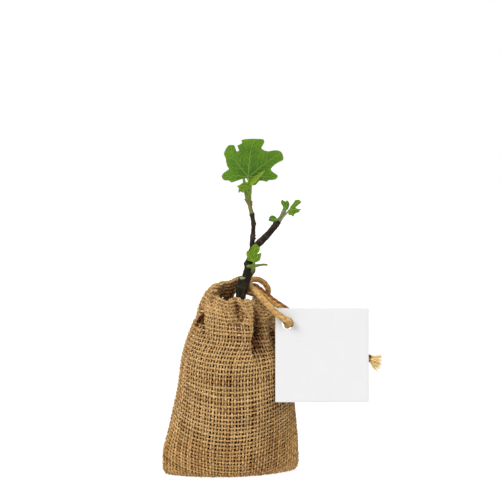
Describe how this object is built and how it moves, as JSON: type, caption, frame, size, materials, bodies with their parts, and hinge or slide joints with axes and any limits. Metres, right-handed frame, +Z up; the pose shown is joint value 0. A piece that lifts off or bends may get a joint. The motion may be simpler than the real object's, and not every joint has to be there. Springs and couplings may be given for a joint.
{
  "type": "fig sapling in a hessian sack",
  "caption": "Young fig sapling that stands on its root ball in a hessian drawstring sack, with a blank square tag card on the cord.",
  "frame": {"origin": "middle of the flat underside of the sack, on the surface that it stands on", "axes": "+Z up, front of the sack and face of the card towards -Y, card and frayed cord end towards +X"},
  "size_m": [0.165, 0.067, 0.2511],
  "materials": {
    "hessian": "coarse open plain weave of undyed jute, slightly hairy",
    "compost": "damp dark peat compost, crumbly",
    "bark": "dark brown bark with lenticels and bud scars",
    "fig_leaf": "fresh green leaf, softly glossy, with paler veins",
    "jute_cord": "soft twisted jute cord, matte",
    "card": "plain white card, matte"
  },
  "bodies": {
    "root": {"hessian_sack": "hessian", "root_ball": "compost", "trunk": "bark", "upright_bough": "bark", "side_bough": "bark", "top_foliage": "fig_leaf", "side_foliage": "fig_leaf", "low_foliage": "fig_leaf", "drawstring_loop": "jute_cord", "drawstring_knot": "jute_cord", "drawstring_front_end": "jute_cord", "drawstring_rear_end": "jute_cord", "drawstring_stop_knot": "jute_cord", "tag_card": "card"}
  },
  "joints": []
}
